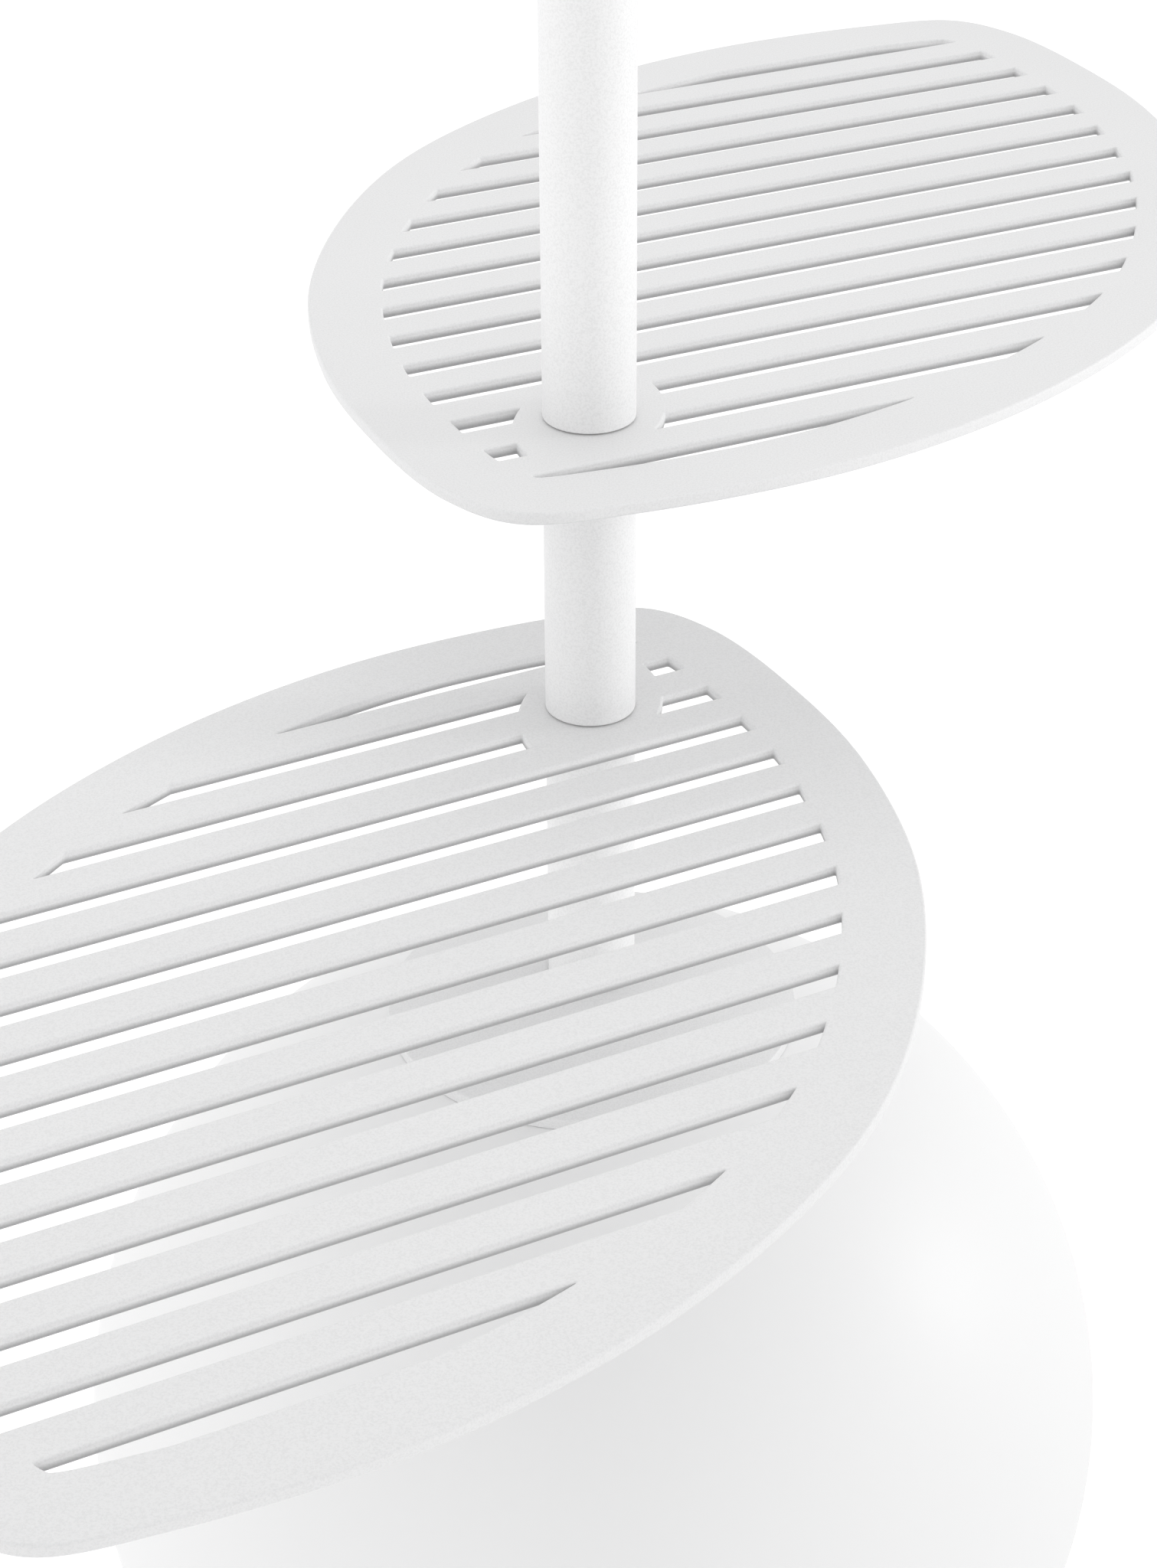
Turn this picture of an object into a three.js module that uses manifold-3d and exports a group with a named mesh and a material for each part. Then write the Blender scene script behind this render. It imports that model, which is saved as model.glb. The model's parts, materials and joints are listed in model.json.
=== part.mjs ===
// Umbrella stand: a weighted globe carries a pole of stacked tube lengths, and two slotted
// leaf-shaped steel shelves are clamped between them. Millimetres, +Z up, origin on the floor
// under the pole's axis.
import * as THREE from 'three';
import { mergeVertices } from 'three/addons/utils/BufferGeometryUtils.js';
import Module from 'manifold-3d';

// ---- driving dimensions ----
const clearance = 0.3; // between pieces that fit into or over each other
const runningGap = 0.2; // above and below a shelf, so that it can be turned

const globeRadius = 200;
const globeWall = 4;
const globeFootRadius = 118; // flat ring that the globe ends in
const flangeThickness = 8;
const flangeOpeningRadius = 96;
const globeNeckRadius = 7; // hole at the crown for the tie rod

const padThickness = 3;
const padRadius = 108;
const plateThickness = 4;
const plateRadius = 112;
const ballastRadius = 92;
const ballastThickness = 60;
const ballastPocketRadius = 17;
const ballastPocketDepth = 16;
const coreTubeRadius = 20;
const coreTubeWall = 3;

const screwCount = 4;
const screwCircleRadius = 103;
const screwShankRadius = 2.2;
const screwHeadRadius = 4.6;
const screwHeadDepth = 2.6;
const screwLength = 10;

const capRadius = 76.5;
const capThickness = 4;
const capSeatLip = 2; // the crown's flat seat reaches this far past the pole

const tubeRadius = 16;
const tubeWall = 2;
const poleHeight = 1000; // floor to the top of the end cap
const moduleHeight = 113; // cap seat to lower shelf top, and shelf top to shelf top
const rodRadius = 5;
const insertLength = 18;
const washerInset = 1.4; // tube's outside to the washers' edge
const washerThickness = 0.4;

const sheetThickness = 4.5;
const leafHalfLength = 207; // along the slots
const leafHalfWidth = 195; // across the slots
const leafEdgeBesidePole = [72, 69]; // pole axis to the leaf's nearest edges, along and across
const borderWidth = 27;
const slotPitch = 25.1;
const slotWidth = 10;
const slotOffset = -18.7; // pole axis to the first edge of the slot row beside it
const slotShortest = 20; // a shorter sliver is not cut
const hubPadHalfLength = 31.5; // unslotted metal round the pole, a small leaf along the slots
const upperShelfTurn = 24.9; // degrees
const lowerShelfTurn = 207.3;

const collarWall = 9; // from the tube's outside
const collarHeight = 18;
const collarBelowTop = 52; // pole top to the collar's middle
const hookCount = 4;
const hookRadius = 4;
const hookReach = 62; // pole axis to the upturned end
const hookRise = 16;
const hookBend = 12;
const hookSeatDepth = 6;
const grubRadius = 2.5;
const grubLength = 7;

const capHeadHeight = 4;
const capSpigotLength = 14;

const nutAcrossFlats = 17;
const nutHeight = 8;
const nutWasherRadius = 11;
const nutWasherThickness = 2;

// ---- heights that follow ----
const plateBottom = padThickness;
const globeFoot = plateBottom + plateThickness;
const capSeatRadius = tubeRadius + capSeatLip;
const washerRadius = tubeRadius - washerInset;
const collarRadius = tubeRadius + collarWall;
const globeCentre = globeFoot + Math.sqrt(globeRadius ** 2 - globeFootRadius ** 2);
const ballastTop = globeFoot + ballastThickness;
const capInside = globeRadius + clearance;
const capOutside = capInside + capThickness;
const capSeat = globeCentre + Math.sqrt(capOutside ** 2 - capSeatRadius ** 2);
const lowerShelfTop = capSeat + moduleHeight;
const upperShelfTop = lowerShelfTop + moduleHeight;
const poleJoint = washerThickness + runningGap;
const tubeLength = moduleHeight - sheetThickness - 2 * poleJoint;
const upperTubeFoot = upperShelfTop + poleJoint;
const upperTubeTop = poleHeight - capHeadHeight;
const tubeBore = tubeRadius - tubeWall;
const insertRadius = tubeBore - clearance;
const rodHoleRadius = rodRadius + clearance;
const topInsertTop = upperTubeTop - capSpigotLength - nutHeight - nutWasherThickness - 8;
const rodFoot = globeFoot + ballastPocketDepth - nutWasherThickness - nutHeight - 3;
const rodTop = topInsertTop + nutWasherThickness + nutHeight + 3;
const collarMiddle = poleHeight - collarBelowTop;

const wasm = await Module();
wasm.setup();

// ---- finishes ----
const powderCoat = () => new THREE.MeshStandardMaterial({ color: 0xe9e9e9, roughness: 0.62, metalness: 0.1 });
const globePlastic = () => new THREE.MeshStandardMaterial({ color: 0xf2f2f2, roughness: 0.55, metalness: 0 });
const plainSteel = () => new THREE.MeshStandardMaterial({ color: 0x9a9da0, roughness: 0.4, metalness: 0.9 });
const blackRubber = () => new THREE.MeshStandardMaterial({ color: 0x202020, roughness: 0.9, metalness: 0 });
const castIron = () => new THREE.MeshStandardMaterial({ color: 0x3c3d3f, roughness: 0.8, metalness: 0.6 });
const whiteNylon = () => new THREE.MeshStandardMaterial({ color: 0xdedede, roughness: 0.5, metalness: 0 });

// ---- shared making steps ----

// One closed body with merged corners, no empty triangles and its faces pointing out.
function closedBody(geometry) {
  geometry.deleteAttribute('normal');
  geometry.deleteAttribute('uv');
  const merged = mergeVertices(geometry, 1e-4);
  const corners = merged.getAttribute('position').array;
  const old = merged.index.array;
  const kept = [];
  let volume = 0;
  for (let i = 0; i < old.length; i += 3) {
    const [a, b, c] = [old[i], old[i + 1], old[i + 2]];
    if (a === b || b === c || c === a) continue;
    kept.push(a, b, c);
    const [p, q, r] = [a, b, c].map((n) => new THREE.Vector3().fromArray(corners, 3 * n));
    volume += p.dot(q.cross(r));
  }
  if (volume < 0) kept.reverse();
  merged.setIndex(kept);
  return merged;
}

function toSolid(geometry) {
  const body = closedBody(geometry);
  const vertProperties = new Float32Array(body.getAttribute('position').array);
  const triVerts = new Uint32Array(body.index.array);
  return new wasm.Manifold(new wasm.Mesh({ numProp: 3, vertProperties, triVerts }));
}

function toGeometry(solid) {
  const mesh = solid.getMesh();
  const geometry = new THREE.BufferGeometry();
  geometry.setAttribute('position', new THREE.BufferAttribute(new Float32Array(mesh.vertProperties), 3));
  geometry.setIndex(Array.from(mesh.triVerts));
  return geometry;
}

// A turned piece: [radius, height] pairs spun round Z.
function turned(profile, sides = 32) {
  const points = profile.map(([radius, height]) => new THREE.Vector2(radius, height));
  return closedBody(new THREE.LatheGeometry(points, sides).rotateX(Math.PI / 2));
}

function ring(inner, outer, low, high, sides = 32) {
  return turned([[inner, low], [outer, low], [outer, high], [inner, high], [inner, low]], sides);
}

function disc(radius, low, high, sides = 32) {
  return turned([[0, low], [radius, low], [radius, high], [0, high]], sides);
}

// Points of a circle about the globe's centre between two distances from the axis.
function arcPoints(radius, fromAxis, toAxis, steps, below = false) {
  const angleAt = (distance) => Math.asin(distance / radius);
  const start = angleAt(fromAxis);
  const turn = (below ? Math.PI - angleAt(toAxis) : angleAt(toAxis)) - start;
  const points = [];
  for (let i = 0; i <= steps; i++) {
    const angle = start + (turn * i) / steps;
    points.push([radius * Math.sin(angle), globeCentre + radius * Math.cos(angle)]);
  }
  return points;
}

const stand = new THREE.Group();

function add(name, geometry, material) {
  const mesh = new THREE.Mesh(geometry, material);
  mesh.name = name;
  stand.add(mesh);
  return mesh;
}

// ---- base: pad, plate, screws, ballast and core tube ----
add('floor_pad', disc(padRadius, 0, padThickness, 48), blackRubber());

// A countersunk screw seen from its head, grown by a margin when it is the cutter.
function screwShape(margin) {
  const head = screwHeadRadius + margin;
  const shank = screwShankRadius + margin;
  const profile = [[0, -margin], [head, -margin], [shank, screwHeadDepth], [shank, screwLength + margin],
    [0, screwLength + margin]];
  return turned(profile, 16);
}

function screwPlace(number) {
  const angle = (Math.PI * 2 * (number + 0.5)) / screwCount;
  return [screwCircleRadius * Math.cos(angle), screwCircleRadius * Math.sin(angle), plateBottom];
}

let plateSolid = toSolid(ring(ballastPocketRadius, plateRadius, plateBottom, globeFoot, 48));
const shellProfile = [
  ...arcPoints(globeRadius, globeNeckRadius, globeFootRadius, 20, true),
  [flangeOpeningRadius, globeFoot],
  [flangeOpeningRadius, globeFoot + flangeThickness],
];
const innerRadius = globeRadius - globeWall;
const innerFlange = Math.sqrt(innerRadius ** 2 - (globeCentre - globeFoot - flangeThickness) ** 2);
const crownSeatRadius = coreTubeRadius + 3; // flat inner face that the core tube bears on
const crownSeat = globeCentre + Math.sqrt(innerRadius ** 2 - crownSeatRadius ** 2);
shellProfile.push(...arcPoints(innerRadius, crownSeatRadius, innerFlange, 9, true).reverse());
shellProfile.push([globeNeckRadius, crownSeat], shellProfile[0]);
let shellSolid = toSolid(turned(shellProfile, 40));

for (let i = 0; i < screwCount; i++) {
  const [x, y, z] = screwPlace(i);
  const cutter = toSolid(screwShape(clearance).translate(x, y, z));
  plateSolid = plateSolid.subtract(cutter);
  shellSolid = shellSolid.subtract(cutter);
  add(`base_screw_${i + 1}`, screwShape(0), plainSteel()).position.set(x, y, z);
}
add('bottom_plate', toGeometry(plateSolid), plainSteel());
add('globe_shell', toGeometry(shellSolid), globePlastic());

const ballastProfile = [
  [rodHoleRadius, globeFoot + ballastPocketDepth],
  [ballastPocketRadius, globeFoot + ballastPocketDepth],
  [ballastPocketRadius, globeFoot],
  [ballastRadius, globeFoot],
  [ballastRadius, ballastTop],
  [rodHoleRadius, ballastTop],
];
add('ballast_weight', turned([...ballastProfile, ballastProfile[0]], 40), castIron());

const coreTubeBore = coreTubeRadius - coreTubeWall;
add('core_tube', ring(coreTubeBore, coreTubeRadius, ballastTop, crownSeat), plainSteel());

// ---- domed steel cap on the globe's crown ----
const crownProfile = [
  ...arcPoints(capInside, rodHoleRadius, capRadius, 5),
  ...arcPoints(capOutside, capSeatRadius, capRadius, 4).reverse(),
  [rodHoleRadius, capSeat],
];
add('crown_cap', turned([...crownProfile, crownProfile[0]], 40), powderCoat());

// ---- tie rod with its nuts and washers ----
add('tie_rod', disc(rodRadius, rodFoot, rodTop, 24), plainSteel());

function nut(low) {
  const corner = nutAcrossFlats / Math.sqrt(3);
  const hexagon = new THREE.Shape();
  for (let i = 0; i < 6; i++) {
    const angle = (Math.PI * i) / 3;
    const place = [corner * Math.cos(angle), corner * Math.sin(angle)];
    if (i === 0) hexagon.moveTo(...place);
    else hexagon.lineTo(...place);
  }
  const bore = new THREE.Path();
  bore.absarc(0, 0, rodHoleRadius, 0, Math.PI * 2, true);
  hexagon.holes.push(bore);
  const options = { depth: nutHeight, bevelEnabled: false, curveSegments: 24 };
  return closedBody(new THREE.ExtrudeGeometry(hexagon, options).translate(0, 0, low));
}

const pocketRoof = globeFoot + ballastPocketDepth;
const lowerWasherFoot = pocketRoof - nutWasherThickness;
add('bottom_washer', ring(rodHoleRadius, nutWasherRadius, lowerWasherFoot, pocketRoof, 24), plainSteel());
add('bottom_nut', nut(lowerWasherFoot - nutHeight), plainSteel());
const topWasherTop = topInsertTop + nutWasherThickness;
add('top_washer', ring(rodHoleRadius, nutWasherRadius, topInsertTop, topWasherTop, 24), plainSteel());
add('top_nut', nut(topWasherTop), plainSteel());

// ---- pole: three tube lengths, each with a turned plug in both ends ----
const poleTubes = [
  { name: 'lower', foot: capSeat + poleJoint, top: capSeat + poleJoint + tubeLength },
  { name: 'middle', foot: lowerShelfTop + poleJoint, top: lowerShelfTop + poleJoint + tubeLength },
  { name: 'upper', foot: upperTubeFoot, top: upperTubeTop, plugTop: topInsertTop },
];
for (const { name, foot, top, plugTop = top } of poleTubes) {
  add(`${name}_tube`, ring(tubeBore, tubeRadius, foot, top, 40), powderCoat());
  add(`${name}_tube_foot_plug`, ring(rodHoleRadius, insertRadius, foot, foot + insertLength, 24), whiteNylon());
  add(`${name}_tube_top_plug`, ring(rodHoleRadius, insertRadius, plugTop - insertLength, plugTop, 24), whiteNylon());
}

// Thin washers keep the coated faces apart at every joint of the pole.
const washerFeet = {
  crown_washer: capSeat,
  lower_shelf_under_washer: lowerShelfTop - sheetThickness - poleJoint,
  lower_shelf_over_washer: lowerShelfTop + runningGap,
  upper_shelf_under_washer: upperShelfTop - sheetThickness - poleJoint,
  upper_shelf_over_washer: upperShelfTop + runningGap,
};
for (const [name, foot] of Object.entries(washerFeet)) {
  add(name, ring(rodHoleRadius, washerRadius, foot, foot + washerThickness, 24), whiteNylon());
}

// ---- leaf-shaped shelf ----
// Half of the leaf's edge as shares of its half length and half width. The other half is the
// same edge turned half a turn about the leaf's middle.
const leafHalfEdge = [
  [-0.995, -0.497], [-0.971, -0.233], [-0.869, 0.114], [-0.657, 0.467], [-0.424, 0.703],
  [-0.058, 0.902], [0.338, 0.997], [0.717, 0.987], [0.901, 0.939], [0.973, 0.804],
];
const leafMiddle = [leafHalfLength - leafEdgeBesidePole[0], leafHalfWidth - leafEdgeBesidePole[1]];

function leafEdge(steps) {
  const halves = [...leafHalfEdge, ...leafHalfEdge.map(([x, y]) => [-x, -y])];
  const knots = halves.map(([x, y]) => new THREE.Vector3(
    leafMiddle[0] + x * leafHalfLength, leafMiddle[1] + y * leafHalfWidth, 0));
  const curve = new THREE.CatmullRomCurve3(knots, true, 'centripetal');
  return curve.getSpacedPoints(steps).slice(0, -1).map(({ x, y }) => [x, y]);
}

// The same edge moved inwards; the edge runs clockwise, so inwards is to its right.
function movedIn(edge, distance) {
  return edge.map(([x, y], i) => {
    const before = edge.at(i - 1);
    const after = edge[(i + 1) % edge.length];
    const [dx, dy] = [after[0] - before[0], after[1] - before[1]];
    const length = Math.hypot(dx, dy);
    return [x + (distance * dy) / length, y - (distance * dx) / length];
  });
}

// The part of a convex outline on one side of a line across the slots.
function keptSide(outline, height, sign) {
  const kept = [];
  outline.forEach((here, i) => {
    const next = outline[(i + 1) % outline.length];
    const [a, b] = [sign * (here[1] - height), sign * (next[1] - height)];
    if (a >= 0) kept.push(here);
    if (a * b < 0) kept.push([here[0] + ((next[0] - here[0]) * a) / (a - b), height]);
  });
  return kept;
}

function prism(outline, low, high) {
  const shape = new THREE.Shape(outline.map(([x, y]) => new THREE.Vector2(x, y)));
  const geometry = new THREE.ExtrudeGeometry(shape, { depth: high - low, bevelEnabled: false });
  return closedBody(geometry.translate(0, 0, low));
}

function leafShelf() {
  const edge = leafEdge(88);
  const field = movedIn(edge, borderWidth);
  let cut = toSolid(disc(rodHoleRadius, -sheetThickness - 1, 1, 24));
  const padScale = hubPadHalfLength / leafHalfLength;
  const padEdge = leafEdge(40).map(([x, y]) => [(x - leafMiddle[0]) * padScale, (y - leafMiddle[1]) * padScale]);
  const hubPad = toSolid(prism(padEdge, -sheetThickness - 2, 2));
  const lowest = Math.min(...field.map(([, y]) => y));
  const highest = Math.max(...field.map(([, y]) => y));
  const firstRow = Math.floor((lowest - slotOffset) / slotPitch);
  for (let row = firstRow; slotOffset + row * slotPitch < highest; row++) {
    const low = slotOffset + row * slotPitch;
    const slot = keptSide(keptSide(field, low, 1), low + slotWidth, -1);
    const along = slot.map(([x]) => x);
    const across = slot.map(([, y]) => y);
    if (slot.length < 3 || Math.max(...along) - Math.min(...along) < slotShortest) continue;
    if (Math.max(...across) - Math.min(...across) < slotWidth / 2) continue;
    cut = cut.add(toSolid(prism(slot, -sheetThickness - 1, 1)).subtract(hubPad));
  }
  return toSolid(prism(edge, -sheetThickness, 0)).subtract(cut);
}

const shelves = [
  { name: 'lower_shelf', top: lowerShelfTop, turn: lowerShelfTurn },
  { name: 'upper_shelf', top: upperShelfTop, turn: upperShelfTurn },
];
for (const { name, top, turn } of shelves) {
  const shelf = add(name, toGeometry(leafShelf()), powderCoat());
  shelf.position.z = top;
  shelf.rotation.z = THREE.MathUtils.degToRad(turn);
}

// ---- hook collar near the pole's top ----
// The collar slides over the tube, and a grub screw locks it from behind.
const collarFoot = collarMiddle - collarHeight / 2;
const collarTop = collarMiddle + collarHeight / 2;
let collarSolid = toSolid(ring(tubeRadius + clearance, collarRadius, collarFoot, collarTop, 40));
const grubStart = tubeRadius + 2 * clearance;

// A rod lying along +X, turned about the pole to the given angle.
function radialRod(radius, start, length, angle, sides) {
  return disc(radius, start, start + length, sides).rotateY(Math.PI / 2).rotateZ(angle)
    .translate(0, 0, collarMiddle);
}

// A hook's round bar: straight out, then bent up.
function hookBar() {
  const path = new THREE.CurvePath();
  const start = collarRadius - hookSeatDepth;
  const bendStart = new THREE.Vector3(hookReach - hookBend, 0, 0);
  path.add(new THREE.LineCurve3(new THREE.Vector3(start, 0, 0), bendStart));
  const corner = new THREE.Vector3(hookReach, 0, 0);
  const bendEnd = new THREE.Vector3(hookReach, 0, hookBend);
  path.add(new THREE.QuadraticBezierCurve3(bendStart, corner, bendEnd));
  path.add(new THREE.LineCurve3(bendEnd, new THREE.Vector3(hookReach, 0, hookBend + hookRise)));
  const section = new THREE.Shape();
  section.absarc(0, 0, hookRadius, 0, Math.PI * 2);
  return closedBody(new THREE.ExtrudeGeometry(section, { steps: 18, curveSegments: 6, extrudePath: path }));
}

for (let i = 0; i < hookCount; i++) {
  const angle = (Math.PI * 2 * (i + 0.5)) / hookCount;
  const seatStart = collarRadius - hookSeatDepth - clearance;
  const seat = radialRod(hookRadius + clearance, seatStart, hookSeatDepth + 5, angle, 16);
  collarSolid = collarSolid.subtract(toSolid(seat));
  const hook = add(`hook_${i + 1}`, hookBar(), powderCoat());
  hook.position.z = collarMiddle;
  hook.rotation.z = angle;
}
const grubHole = radialRod(grubRadius + clearance, 0, collarRadius + 5, Math.PI / 2, 12);
collarSolid = collarSolid.subtract(toSolid(grubHole));
add('hook_collar', toGeometry(collarSolid), powderCoat());
add('collar_grub_screw', radialRod(grubRadius, grubStart, grubLength, Math.PI / 2, 12), plainSteel());

// ---- end cap ----
const spigotRadius = tubeBore - clearance;
const spigotFoot = upperTubeTop - capSpigotLength;
const capProfile = [
  [0, spigotFoot], [spigotRadius - 1, spigotFoot], [spigotRadius, spigotFoot + 1],
  [spigotRadius, upperTubeTop], [tubeRadius, upperTubeTop], [tubeRadius, poleHeight - 2],
  [tubeRadius - 0.6, poleHeight - 0.6], [tubeRadius - 2, poleHeight], [0, poleHeight],
];
add('pole_end_cap', turned(capProfile, 40), powderCoat());

export default stand;
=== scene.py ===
import json
import math

import bpy
from mathutils import Matrix, Vector


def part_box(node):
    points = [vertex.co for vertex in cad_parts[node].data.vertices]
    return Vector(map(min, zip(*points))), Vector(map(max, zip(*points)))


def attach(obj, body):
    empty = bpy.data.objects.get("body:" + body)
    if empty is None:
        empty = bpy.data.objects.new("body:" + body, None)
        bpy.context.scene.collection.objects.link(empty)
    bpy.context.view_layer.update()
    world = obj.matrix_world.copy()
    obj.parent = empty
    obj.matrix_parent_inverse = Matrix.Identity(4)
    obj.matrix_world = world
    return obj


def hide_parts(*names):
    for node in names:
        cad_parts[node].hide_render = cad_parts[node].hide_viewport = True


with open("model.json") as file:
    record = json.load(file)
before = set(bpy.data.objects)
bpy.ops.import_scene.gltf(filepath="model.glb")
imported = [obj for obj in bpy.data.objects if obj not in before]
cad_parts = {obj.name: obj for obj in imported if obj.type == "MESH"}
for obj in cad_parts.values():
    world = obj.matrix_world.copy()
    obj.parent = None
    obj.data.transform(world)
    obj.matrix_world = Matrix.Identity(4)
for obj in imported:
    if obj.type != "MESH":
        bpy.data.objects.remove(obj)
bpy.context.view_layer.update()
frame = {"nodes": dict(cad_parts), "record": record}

# ---------------------------------------------------------------- camera
# A long lens close in front of the pole, level with its upper end and looking down over
# both shelves to the globe.
shelf_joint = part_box("upper_tube")[0][2]
camera_place = Matrix.Translation((0.0001, -1.0481, shelf_joint + 0.4834))
camera_turn = Matrix.Rotation(math.radians(0.248), 4, "Z")
camera_tilt = Matrix.Rotation(math.radians(90 - 30.995), 4, "X")
camera_roll = Matrix.Rotation(math.radians(-0.359), 4, "Z")
bpy.ops.object.camera_add()
camera = bpy.context.object
camera.matrix_world = camera_place @ camera_turn @ camera_tilt @ camera_roll
camera.data.lens = 77.68
camera.data.sensor_width = 36
camera.data.dof.use_dof = False
bpy.context.scene.camera = camera

# ---------------------------------------------------------------- room and lights
# An evenly white studio room. A small gridded softbox stands at the right at shelf height, so its
# narrow beam rakes along the slots and leaves their far ends in shade. A wider one at the left
# reaches in between the shelves, and a large one hangs overhead.
bpy.context.scene.view_settings.view_transform = "Standard"
room = bpy.data.worlds.new("white_room")
bpy.context.scene.world = room
room.use_nodes = True
room.node_tree.nodes["Background"].inputs["Color"].default_value = (1.0, 1.0, 1.0, 1)
room.node_tree.nodes["Background"].inputs["Strength"].default_value = 1.0
softboxes = {
    "key_softbox": {
        "place": (2.4, 0.25, 0.92), "size": (0.45, 0.45), "power": 0.48,
        "spread": math.radians(30)},
    "side_softbox": {
        "place": (-2.4, 0.1, 0.9), "size": (0.9, 1.2), "power": 5.5, "spread": math.pi},
    "top_softbox": {
        "place": (0.2, 0.9, 3.0), "size": (2.4, 2.0), "power": 4.2, "spread": math.pi},
}
aim = Vector((0, 0, 0.55))
for box_name, softbox in softboxes.items():
    bpy.ops.object.light_add(type="AREA", location=softbox["place"])
    light = bpy.context.object
    light.name = box_name
    light.data.shape = "RECTANGLE"
    light.data.size, light.data.size_y = softbox["size"]
    light.data.energy = softbox["power"]
    light.data.spread = softbox["spread"]
    facing = aim - light.location
    light.rotation_euler = facing.to_track_quat("-Z", "Y").to_euler()

# ---------------------------------------------------------------- floor
# A plain white shooting table. It is lit from below, as translucent acrylic is, so that it
# stays white in the stand's shade.
bpy.ops.mesh.primitive_plane_add(size=40, location=(0, 0, 0))
floor = bpy.context.object
floor.name = "shooting_table"
acrylic = bpy.data.materials.new("lit_acrylic")
acrylic.use_nodes = True
acrylic_shader = acrylic.node_tree.nodes["Principled BSDF"]
acrylic_shader.inputs["Base Color"].default_value = (0.93, 0.93, 0.93, 1)
acrylic_shader.inputs["Roughness"].default_value = 0.8
acrylic_shader.inputs["Emission Color"].default_value = (1, 1, 1, 1)
acrylic_shader.inputs["Emission Strength"].default_value = 0.16
floor.data.materials.append(acrylic)

# ---------------------------------------------------------------- globe
# The hollow globe is moulded in one piece in satin white plastic. It ends in a small rounded
# foot that turns in to the flange on the base plate, and the steel disc covers its crown.


def deselect_all():
    if bpy.context.mode != "OBJECT":
        bpy.ops.object.mode_set(mode="OBJECT")
    bpy.ops.object.select_all(action="DESELECT")


def pick(piece):
    deselect_all()
    bpy.context.view_layer.objects.active = piece
    piece.select_set(True)


def add_node(material, kind, name, **settings):
    """A shader node, with its sockets and properties set by name."""
    node = material.node_tree.nodes.new(kind)
    node.name = name
    for key, value in settings.items():
        socket = key.replace("_", " ")
        if socket in node.inputs:
            node.inputs[socket].default_value = value
        else:
            setattr(node, key, value)
    return node


def wire(material, *steps):
    """Joins sockets, each step written as from-node, from-socket, to-node, to-socket."""
    nodes = material.node_tree.nodes
    for source, output, target, socket in steps:
        material.node_tree.links.new(nodes[source].outputs[output], nodes[target].inputs[socket])


def tone_ramp(material, name, low, high, low_at, high_at):
    """A ramp from one tone to another between two places on its scale."""
    ramp = add_node(material, "ShaderNodeValToRGB", name)
    ends = ramp.color_ramp.elements
    ends[0].position, ends[0].color = low_at, (*low, 1)
    ends[1].position, ends[1].color = high_at, (*high, 1)


def new_material(name, roughness, metallic=0.0):
    material = bpy.data.materials.new(name)
    material.use_nodes = True
    shader = material.node_tree.nodes["Principled BSDF"]
    shader.name = "shader"
    shader.inputs["Roughness"].default_value = roughness
    shader.inputs["Metallic"].default_value = metallic
    add_node(material, "ShaderNodeTexCoord", "place")
    return material


def arc(centre, radius, start, end, steps):
    """Points along an arc of the profile, with angles in degrees up from straight out."""
    points = []
    for i in range(steps + 1):
        angle = math.radians(start + (end - start) * i / steps)
        points.append((centre[0] + radius * math.cos(angle), centre[1] + radius * math.sin(angle)))
    return points


def spun(profile, steps):
    """A closed piece turned about the pole's axis from (radius, height) points."""
    deselect_all()
    bpy.ops.mesh.primitive_circle_add(vertices=len(profile), radius=0.01)
    piece = bpy.context.object
    for vertex, (radius, height) in zip(piece.data.vertices, profile):
        vertex.co = (radius, 0, height)
    bpy.ops.object.mode_set(mode="EDIT")
    bpy.ops.mesh.select_all(action="SELECT")
    bpy.ops.mesh.spin(steps=steps, angle=math.tau, center=(0, 0, 0), axis=(0, 0, 1))
    bpy.ops.mesh.select_all(action="SELECT")
    bpy.ops.mesh.remove_doubles(threshold=1e-6)
    bpy.ops.mesh.delete_loose(use_faces=False)
    bpy.ops.mesh.select_all(action="SELECT")
    bpy.ops.mesh.normals_make_consistent(inside=False)
    bpy.ops.object.mode_set(mode="OBJECT")
    return piece


def finish_piece(piece, name, material, body, nodes, smooth_degrees=35):
    """Puts the piece's place into its mesh, hands it to its body and hides its CAD nodes."""
    pick(piece)
    bpy.ops.object.transform_apply(location=True, rotation=True, scale=True)
    bpy.ops.object.shade_smooth_by_angle(angle=math.radians(smooth_degrees))
    piece.name = name
    piece.data.name = name
    piece.data.materials.clear()
    piece.data.materials.append(material)
    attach(piece, body)
    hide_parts(*nodes)
    piece.select_set(False)


globe_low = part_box("globe_shell")[0]
globe_radius = 0.2
globe_wall = 0.004
foot_radius = 0.118
foot_round = 0.003
neck_radius = 0.0072
flange_inside = 0.096
flange_thickness = 0.008
flange_break = 0.001
globe_middle = globe_low[2] + math.sqrt(globe_radius**2 - foot_radius**2)
crown_angle = math.degrees(math.acos(neck_radius / globe_radius))
foot_angle = -math.degrees(math.acos((foot_radius + foot_round * 0.6) / globe_radius))
inner_radius = globe_radius - globe_wall
flange_top = globe_low[2] + flange_thickness
inner_foot = -math.degrees(math.asin((globe_middle - flange_top) / inner_radius))
inner_crown = math.degrees(math.acos(neck_radius / inner_radius))
globe_profile = arc((0, globe_middle), globe_radius, crown_angle, foot_angle, 110)
globe_profile += arc(
    (foot_radius - flange_break, globe_low[2] + foot_round), foot_round, -40, -90, 5)
globe_profile += [(flange_inside + flange_break, globe_low[2])]
globe_profile += [(flange_inside, globe_low[2] + flange_break)]
globe_profile += [(flange_inside, flange_top - flange_break)]
globe_profile += [(flange_inside + flange_break, flange_top)]
globe_profile += arc((0, globe_middle), inner_radius, inner_foot, inner_crown, 48)
globe = spun(globe_profile, 144)

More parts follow.
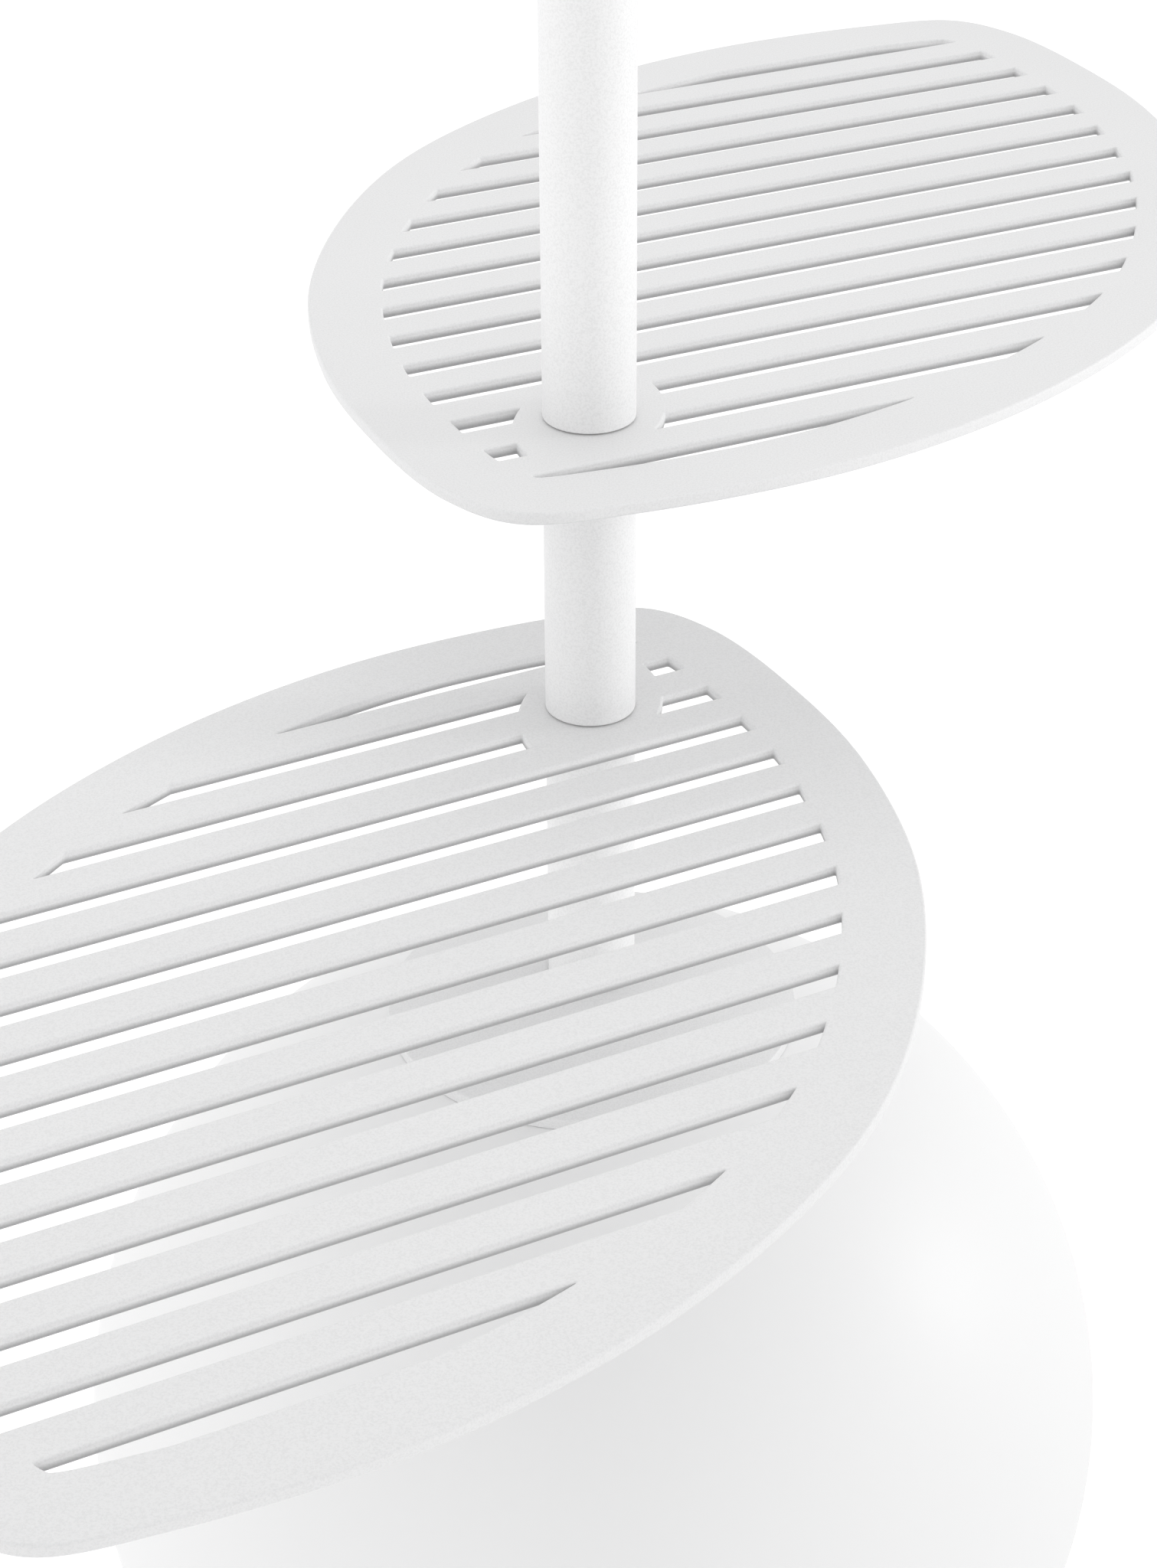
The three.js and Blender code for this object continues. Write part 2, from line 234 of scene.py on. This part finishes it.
globe_plastic = new_material("satin_plastic", 0.48)
add_node(globe_plastic, "ShaderNodeTexNoise", "flow", Scale=4.0, Detail=2.0, Roughness=0.45)
tone_ramp(globe_plastic, "flow_tone", (0.785, 0.785, 0.787), (0.8, 0.8, 0.801), 0.3, 0.7)
add_node(globe_plastic, "ShaderNodeTexNoise", "mould_skin", Scale=420.0, Detail=2.0, Roughness=0.5)
add_node(globe_plastic, "ShaderNodeMapRange", "sheen", To_Min=0.42, To_Max=0.54)
add_node(globe_plastic, "ShaderNodeBump", "skin", Strength=0.12, Distance=0.00006)
globe_shader = globe_plastic.node_tree.nodes["shader"]
globe_shader.inputs["Subsurface Weight"].default_value = 0.08
globe_shader.inputs["Subsurface Radius"].default_value = (0.004, 0.004, 0.004)
wire(
    globe_plastic,
    ("place", "Object", "flow", "Vector"),
    ("place", "Object", "mould_skin", "Vector"),
    ("flow", "Fac", "flow_tone", "Fac"),
    ("flow_tone", "Color", "shader", "Base Color"),
    ("flow", "Fac", "sheen", "Value"),
    ("sheen", "Result", "shader", "Roughness"),
    ("mould_skin", "Fac", "skin", "Height"),
    ("skin", "Normal", "shader", "Normal"),
)
finish_piece(globe, "globe", globe_plastic, "base_and_pole", ["globe_shell"])

# ---------------------------------------------------------------- crown disc
# A steel disc domed to the globe's curve, with a flat seat for the pole in its middle and a
# rolled rim. It has the same white powder coat as the shelves: a fine orange-peel grain in a
# slightly cloudy film. On the shelves the coat is also greyed deep in each slot as painted shade.


def multiply_node(material, name):
    product = add_node(material, "ShaderNodeMix", name, data_type="RGBA", blend_type="MULTIPLY")
    product.inputs[0].default_value = 1.0


def coat_material(name, tone, grain_scale, grain_height, painted_slot_shade=False):
    coat = new_material(name, 0.5)
    cloudy = tuple(c * 0.975 for c in tone)
    add_node(coat, "ShaderNodeTexNoise", "cloud", Scale=9.0, Detail=3.0, Roughness=0.5)
    tone_ramp(coat, "film_tone", cloudy, tone, 0.3, 0.7)
    add_node(coat, "ShaderNodeTexNoise", "grain", Scale=grain_scale, Detail=2.0, Roughness=0.6)
    tone_ramp(coat, "grain_tone", (0.93, 0.93, 0.93), (1, 1, 1), 0.36, 0.56)
    multiply_node(coat, "speckled")
    add_node(coat, "ShaderNodeMapRange", "sheen", To_Min=0.44, To_Max=0.6)
    add_node(coat, "ShaderNodeBump", "peel", Strength=0.35, Distance=grain_height)
    wire(
        coat,
        ("place", "Object", "cloud", "Vector"),
        ("place", "Object", "grain", "Vector"),
        ("cloud", "Fac", "film_tone", "Fac"),
        ("grain", "Fac", "grain_tone", "Fac"),
        ("film_tone", "Color", "speckled", 6),
        ("grain_tone", "Color", "speckled", 7),
        ("speckled", 2, "shader", "Base Color"),
        ("cloud", "Fac", "sheen", "Value"),
        ("sheen", "Result", "shader", "Roughness"),
        ("grain", "Fac", "peel", "Height"),
        ("peel", "Normal", "shader", "Normal"),
    )
    # Painted shade: the coat greys towards the bottom of each slot wall, standing in for the shade
    # inside the slots.
    if painted_slot_shade:
        add_node(coat, "ShaderNodeAttribute", "depth_in_slot", attribute_name="depth_in_slot")
        tone_ramp(coat, "slot_shade_tone", (1, 1, 1), (0.5, 0.5, 0.503), 0.45, 0.95)
        multiply_node(coat, "slot_shaded")
        wire(
            coat,
            ("depth_in_slot", "Fac", "slot_shade_tone", "Fac"),
            ("speckled", 2, "slot_shaded", 6),
            ("slot_shade_tone", "Color", "slot_shaded", 7),
            ("slot_shaded", 2, "shader", "Base Color"),
        )
    return coat


disc_coat = coat_material("disc_powder_coat", (0.757, 0.757, 0.76), 1500, 0.00012)
cap_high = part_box("crown_cap")[1]
cap_radius = cap_high[0]
cap_clearance = 0.0003
cap_thickness = 0.004
cap_inside = globe_radius + cap_clearance
cap_outside = cap_inside + cap_thickness
seat_radius = 0.018
rod_hole = 0.0053
rim_round = 0.0008


def dome_height(radius, out):
    return globe_middle + math.sqrt(radius**2 - out**2)


cap_profile = []
for i in range(17):
    out = rod_hole + (cap_radius - 0.0002 - rod_hole) * i / 16
    cap_profile.append((out, dome_height(cap_inside, out)))
rim_out = cap_radius - rim_round
cap_profile += arc((rim_out, dome_height(cap_outside, rim_out) - rim_round), rim_round, 0, 78, 5)
dome_out = cap_radius - 2 * rim_round
for i in range(1, 17):
    out = dome_out - (dome_out - seat_radius) * i / 16
    cap_profile.append((out, dome_height(cap_outside, out)))
cap_profile += [(seat_radius - 0.0006, cap_high[2]), (rod_hole, cap_high[2])]
crown_disc = spun(cap_profile, 128)
finish_piece(crown_disc, "crown_disc", disc_coat, "base_and_pole", ["crown_cap"])

# ---------------------------------------------------------------- pole
# Three lengths of steel tube stand on one another with the shelves between them. Their ends
# are cut square and lightly broken before coating, so each joint shows as a fine dark line.
# Painted light: the pole wears the shelves' white powder coat in a lighter tone, standing in for
# the side light on the upright tubes.
pole_coat = coat_material("pole_powder_coat", (0.845, 0.845, 0.847), 1300, 0.00016)
tube_wall = 0.002
end_break = 0.00035
stations = 6
for tube_name in ("lower_tube", "middle_tube", "upper_tube"):
    low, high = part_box(tube_name)
    tube_radius = high[0]
    tube_length = high[2] - low[2]
    foot_break = arc((tube_radius - end_break, low[2] + end_break), end_break, -90, 0, 3)
    top_break = arc((tube_radius - end_break, high[2] - end_break), end_break, 0, 90, 3)
    tube_profile = list(foot_break)
    for i in range(1, stations):
        tube_profile.append((tube_radius, low[2] + tube_length * i / stations))
    tube_profile += top_break
    tube_profile += [(tube_radius - tube_wall, high[2]), (tube_radius - tube_wall, low[2])]
    tube = spun(tube_profile, 96)
    finish_piece(tube, "pole_" + tube_name, pole_coat, "base_and_pole", [tube_name], 50)

# ---------------------------------------------------------------- leaf shelves
# Each shelf is laser-cut from steel sheet to a leaf outline, with parallel slots that stop at
# an even border and at a small leaf of plain metal round the pole. The cut edges are eased.
# The shelves' coat carries the painted shade in their slots.
shelf_coat = coat_material(
    "shelf_powder_coat", (0.757, 0.757, 0.76), 1500, 0.00012, painted_slot_shade=True)
leaf_half = [
    (-0.995, -0.497), (-0.971, -0.233), (-0.869, 0.114), (-0.657, 0.467), (-0.424, 0.703),
    (-0.058, 0.902), (0.338, 0.997), (0.717, 0.987), (0.901, 0.939), (0.973, 0.804),
]
leaf_length, leaf_width = 0.207, 0.195
leaf_middle = Vector((leaf_length - 0.072, leaf_width - 0.069))
border = 0.027
slot_pitch, slot_width, slot_offset = 0.0251, 0.01, -0.0187
hub_leaf = 0.0315
cut_edge_round = 0.0009
slot_corner_round = 0.0012


def through_knots(knots, per_knot):
    """A closed smooth curve through all the knots."""
    points = []
    count = len(knots)
    for i in range(count):
        a, b, c, d = (knots[(i + k) % count] for k in (-1, 0, 1, 2))
        t1 = (b - a).length ** 0.5
        t2 = t1 + (c - b).length ** 0.5
        t3 = t2 + (d - c).length ** 0.5
        for k in range(per_knot):
            t = t1 + (t2 - t1) * k / per_knot
            ab = a.lerp(b, t / t1)
            bc = b.lerp(c, (t - t1) / (t2 - t1))
            cd = c.lerp(d, (t - t2) / (t3 - t2))
            abc = ab.lerp(bc, t / t2)
            bcd = bc.lerp(cd, (t - t1) / (t3 - t1))
            points.append(abc.lerp(bcd, (t - t1) / (t2 - t1)))
    return points


leaf_knots = [Vector((x * leaf_length, y * leaf_width)) for x, y in leaf_half]
leaf_knots += [-knot for knot in leaf_knots]
leaf_edge = [leaf_middle + point for point in through_knots(leaf_knots, 16)]
hub_edge = [point * (hub_leaf / leaf_length) for point in through_knots(leaf_knots, 8)]


def moved_in(edge, distance):
    moved = []
    for i, point in enumerate(edge):
        along = (edge[(i + 1) % len(edge)] - edge[i - 1]).normalized()
        moved.append(point + Vector((along.y, -along.x)) * distance)
    return moved


def reach(outline, height):
    """Where a line along the slots enters and leaves a convex outline."""
    crossings = []
    for here, there in zip(outline, outline[1:] + outline[:1]):
        if (here.y - height) * (there.y - height) <= 0 and here.y != there.y:
            share = (height - here.y) / (there.y - here.y)
            crossings.append(here.x + (there.x - here.x) * share)
    return (min(crossings), max(crossings)) if crossings else None


def slot_outlines():
    field = moved_in(leaf_edge, border)
    bottom = min(point.y for point in field)
    top = max(point.y for point in field)
    outlines = []
    row = math.floor((bottom - slot_offset) / slot_pitch)
    while slot_offset + row * slot_pitch < top:
        low = max(slot_offset + row * slot_pitch, bottom + 1e-5)
        high = min(slot_offset + row * slot_pitch + slot_width, top - 1e-5)
        row += 1
        if high - low < slot_width / 2:
            continue
        levels = sorted({low + (high - low) * k / 12 for k in range(13)})
        spans = [reach(field, level) for level in levels]
        if not reach(hub_edge, (low + high) / 2):
            left = [Vector((span[0], level)) for span, level in zip(spans, levels)]
            right = [Vector((span[1], level)) for span, level in zip(spans, levels)]
            outlines.append(left + right[::-1])
            continue
        hubs = [reach(hub_edge, level) for level in levels]
        for side in (0, 1):
            outer = [Vector((span[side], level)) for span, level in zip(spans, levels)]
            inner = [Vector((hub[side], level)) for hub, level in zip(hubs, levels)]
            outlines.append(outer + inner[::-1])
    return outlines


def ease_corners(outline, radius, steps=4):
    """Rounds the sharp corners of an outline, as a cutting beam leaves them."""
    eased = []
    for i, point in enumerate(outline):
        before = outline[i - 1] - point
        after = outline[(i + 1) % len(outline)] - point
        if before.length < 1e-7 or after.length < 1e-7:
            continue
        if math.pi - before.angle(after) < 0.5:
            eased.append(point)
            continue
        cut = min(radius, before.length * 0.45, after.length * 0.45)
        start = point + before.normalized() * cut
        end = point + after.normalized() * cut
        for k in range(steps + 1):
            t = k / steps
            eased.append(start.lerp(point, t).lerp(point.lerp(end, t), t))
    return eased


def note_slot_depth(plate, thickness):
    """Marks how deep each point of a slot's wall lies, from 0 at the top to 1 near the bottom, as
    the mask for the painted shade in the slots.
    """
    depth_in_slot = plate.data.attributes.new("depth_in_slot", "FLOAT", "POINT")
    for vertex, mark in zip(plate.data.vertices, depth_in_slot.data):
        flat_place = Vector((vertex.co.x, vertex.co.y))
        on_rim = min((flat_place - point).length for point in leaf_edge) < border / 2
        below_top = thickness / 2 - vertex.co.z
        above_bottom = thickness - below_top
        if not on_rim and above_bottom > cut_edge_round / 10:
            mark.value = min(1, below_top / (thickness - cut_edge_round))


def leaf_plate(thickness):
    """The slotted leaf as a flat curve with eased edges, made a mesh with its top at height 0."""
    deselect_all()
    bpy.ops.curve.primitive_bezier_circle_add(radius=0.1)
    plate = bpy.context.object
    flat = plate.data
    flat.splines.clear()
    flat.dimensions = "2D"
    flat.fill_mode = "BOTH"
    flat.extrude = thickness / 2 - cut_edge_round
    flat.bevel_depth = cut_edge_round
    flat.bevel_resolution = 2
    flat.offset = -cut_edge_round
    turns = [math.tau * k / 32 for k in range(32)]
    rod_edge = [Vector((rod_hole * math.cos(turn), rod_hole * math.sin(turn))) for turn in turns]
    slots = [ease_corners(outline, slot_corner_round) for outline in slot_outlines()]
    for outline in [leaf_edge, rod_edge] + slots:
        spline = flat.splines.new("POLY")
        spline.points.add(len(outline) - 1)
        for target, point in zip(spline.points, outline):
            target.co = (point.x, point.y, 0, 1)
        spline.use_cyclic_u = True
    bpy.ops.object.convert(target="MESH")
    plate = bpy.context.object
    bpy.ops.object.mode_set(mode="EDIT")
    bpy.ops.mesh.select_all(action="SELECT")
    bpy.ops.mesh.remove_doubles(threshold=1e-6)
    bpy.ops.mesh.normals_make_consistent(inside=False)
    bpy.ops.object.mode_set(mode="OBJECT")
    note_slot_depth(plate, thickness)
    plate.location.z = -thickness / 2
    return plate


shelf_turns = {"lower_shelf": 207.3, "upper_shelf": 24.9}
for shelf_name, degrees in shelf_turns.items():
    low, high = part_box(shelf_name)
    shelf = leaf_plate(high[2] - low[2])
    shelf.location.z += high[2]
    shelf.rotation_euler.z = math.radians(degrees)
    leaf_name = shelf_name.replace("shelf", "leaf_shelf")
    finish_piece(shelf, leaf_name, shelf_coat, shelf_name + "_body", [shelf_name])
    pick(shelf)
    shelf.modifiers.new("even_faces", "WEIGHTED_NORMAL").keep_sharp = True
    bpy.ops.object.modifier_apply(modifier="even_faces")

# ---------------------------------------------------------------- end cap
# A turned steel plug closes the pole's top. Its head is a shallow dome with a rolled edge,
# coated with the pole, and its spigot sits inside the tube.
plug_low, plug_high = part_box("pole_end_cap")
tube_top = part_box("upper_tube")[1][2]
head_radius = plug_high[0]
head_round = 0.0018
dome_rise = 0.0008
spigot_clearance = 0.0003
spigot_break = 0.001
spigot_radius = head_radius - tube_wall - spigot_clearance
head_foot = tube_top + 0.0001
shoulder = plug_high[2] - dome_rise - head_round
plug_profile = [(0, plug_low[2]), (spigot_radius - spigot_break, plug_low[2])]
plug_profile += [(spigot_radius, plug_low[2] + spigot_break)]
plug_profile += [(spigot_radius, head_foot), (head_radius - end_break, head_foot)]
plug_profile += [(head_radius, head_foot + end_break)]
plug_profile += arc((head_radius - head_round, shoulder), head_round, 0, 84, 6)
dome_edge = head_radius - head_round
for i in range(1, 9):
    share = i / 8
    plug_profile.append((dome_edge * (1 - share), plug_high[2] - dome_rise * (1 - share) ** 2))
end_cap = spun(plug_profile, 64)
finish_piece(end_cap, "pole_end_plug", pole_coat, "base_and_pole", ["pole_end_cap"])

# ---------------------------------------------------------------- hook collar
# A turned steel collar slides on the pole below its top. A grub screw at the back locks it,
# and four bent bars are pressed into it to hang umbrellas by their handles or loops.
collar_low, collar_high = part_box("hook_collar")
collar_radius = collar_high[0]
collar_middle = (collar_low[2] + collar_high[2]) / 2
collar_round = 0.0015
collar_bore = 0.0163
bore_break = 0.0005
round_out = collar_radius - collar_round
collar_profile = arc((round_out, collar_low[2] + collar_round), collar_round, -90, 0, 5)
collar_profile += arc((round_out, collar_high[2] - collar_round), collar_round, 0, 90, 5)
collar_profile += [(collar_bore + bore_break, collar_high[2])]
collar_profile += [(collar_bore, collar_high[2] - bore_break)]
collar_profile += [(collar_bore, collar_low[2] + bore_break)]
collar_profile += [(collar_bore + bore_break, collar_low[2])]
collar = spun(collar_profile, 96)
grub_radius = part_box("collar_grub_screw")[1][0]
grub_clearance = 0.0003
drill_length = 0.02
bpy.ops.mesh.primitive_cylinder_add(
    vertices=24, radius=grub_radius + grub_clearance, depth=drill_length,
    location=(0, collar_radius, collar_middle), rotation=(math.pi / 2, 0, 0))
grub_drill = bpy.context.object
pick(collar)
grub_hole = collar.modifiers.new("grub_hole", "BOOLEAN")
grub_hole.object = grub_drill
grub_hole.operation = "DIFFERENCE"
bpy.ops.object.modifier_apply(modifier=grub_hole.name)
bpy.data.objects.remove(grub_drill)
finish_piece(collar, "umbrella_hook_collar", pole_coat, "base_and_pole", ["hook_collar"])

hook_count = 4
hook_bar = 0.004
hook_start = 0.019
hook_reach = 0.062
hook_bend = 0.012
hook_rise = 0.016
tip_round = 0.0034
for number in range(1, hook_count + 1):
    deselect_all()
    bpy.ops.mesh.primitive_circle_add(
        vertices=32, radius=hook_bar, fill_type="NGON",
        location=(hook_start, 0, collar_middle), rotation=(0, math.pi / 2, 0))
    hook = bpy.context.object
    bpy.ops.object.transform_apply(location=True, rotation=True, scale=True)
    bpy.ops.object.mode_set(mode="EDIT")
    bpy.ops.mesh.select_all(action="SELECT")
    straight = hook_reach - hook_bend - hook_start
    bpy.ops.mesh.extrude_region_move(TRANSFORM_OT_translate={"value": (straight, 0, 0)})
    bpy.ops.mesh.spin(
        steps=12, angle=math.pi / 2, axis=(0, 1, 0),
        center=(hook_reach - hook_bend, 0, collar_middle + hook_bend))
    bpy.ops.mesh.extrude_region_move(TRANSFORM_OT_translate={"value": (0, 0, hook_rise)})
    bpy.ops.mesh.bevel(offset=tip_round, segments=6, affect="EDGES", offset_type="OFFSET")
    bpy.ops.mesh.select_all(action="SELECT")
    bpy.ops.mesh.remove_doubles(threshold=1e-6)
    bpy.ops.mesh.normals_make_consistent(inside=False)
    bpy.ops.object.mode_set(mode="OBJECT")
    hook.rotation_euler.z = math.tau * (number - 0.5) / hook_count
    hook_name = f"umbrella_hook_{number}"
    finish_piece(hook, hook_name, pole_coat, "base_and_pole", [f"hook_{number}"])

# ---------------------------------------------------------------- floor pad
# A rubber pad glued under the base plate keeps the stand from sliding. Rings are moulded
# into its underside, and its edge is rounded.


def mottled_material(name, tones, mottle_scale, bump_depth, roughness, metallic=0.0):
    """A plain finish with mottled tone and sheen over a fine uneven skin."""
    material = new_material(name, roughness[0], metallic)
    add_node(
        material, "ShaderNodeTexNoise", "mottle", Scale=mottle_scale, Detail=4.0, Roughness=0.6)
    tone_ramp(material, "mottle_tone", *tones, 0.3, 0.7)
    add_node(material, "ShaderNodeMapRange", "sheen", To_Min=roughness[0], To_Max=roughness[1])
    add_node(material, "ShaderNodeBump", "skin", Strength=0.4, Distance=bump_depth)
    wire(
        material,
        ("place", "Object", "mottle", "Vector"),
        ("mottle", "Fac", "mottle_tone", "Fac"),
        ("mottle_tone", "Color", "shader", "Base Color"),
        ("mottle", "Fac", "sheen", "Value"),
        ("sheen", "Result", "shader", "Roughness"),
        ("mottle", "Fac", "skin", "Height"),
        ("skin", "Normal", "shader", "Normal"),
    )
    return material


pad_rubber = mottled_material(
    "pad_rubber", ((0.018, 0.018, 0.018), (0.035, 0.035, 0.034)), 900, 0.0002, (0.75, 0.9))
pad_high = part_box("floor_pad")[1]
pad_round = 0.0009
ring_pitch = 0.012
ring_depth = 0.001
ring_slope = 0.001
ring_width = 0.004
ring_margin = 0.006
pad_bore = 0.004
pad_profile = arc((pad_high[0] - pad_round, pad_high[2] - pad_round), pad_round, 90, 0, 4)
pad_profile += arc((pad_high[0] - pad_round, pad_round), pad_round, 0, -90, 4)
ring_out = pad_high[0] - ring_margin
while ring_out > ring_pitch:
    pad_profile += [(ring_out, 0), (ring_out - ring_slope, ring_depth)]
    pad_profile += [(ring_out - ring_width + ring_slope, ring_depth)]
    pad_profile += [(ring_out - ring_width, 0)]
    ring_out -= ring_pitch
pad_profile += [(pad_bore, 0), (pad_bore, pad_high[2])]
floor_pad = spun(pad_profile, 128)
finish_piece(floor_pad, "ringed_floor_pad", pad_rubber, "base_and_pole", ["floor_pad"])

# ---------------------------------------------------------------- inner pieces
# The zinc-plated plate, screws, tie rod and nuts, the cast ballast and the nylon plugs and
# washers sit inside the globe and the pole, so they keep their plain machined shapes.
zinc = mottled_material(
    "zinc_plate", ((0.5, 0.51, 0.52), (0.68, 0.69, 0.69)), 160, 0.00008, (0.28, 0.45),
    metallic=1.0)
grey_iron = mottled_material(
    "grey_iron", ((0.06, 0.06, 0.062), (0.13, 0.13, 0.13)), 320, 0.0006, (0.6, 0.85),
    metallic=0.6)
natural_nylon = mottled_material(
    "natural_nylon", ((0.68, 0.67, 0.64), (0.76, 0.75, 0.72)), 210, 0.00006, (0.4, 0.55))
inner_finishes = {"steel": zinc, "ballast": grey_iron, "nylon": natural_nylon}
for part in frame["record"]["subparts"]:
    finish = inner_finishes.get(part.get("material_slot"))
    if finish:
        for material_slot in frame["nodes"][part["node"]].material_slots:
            material_slot.material = finish
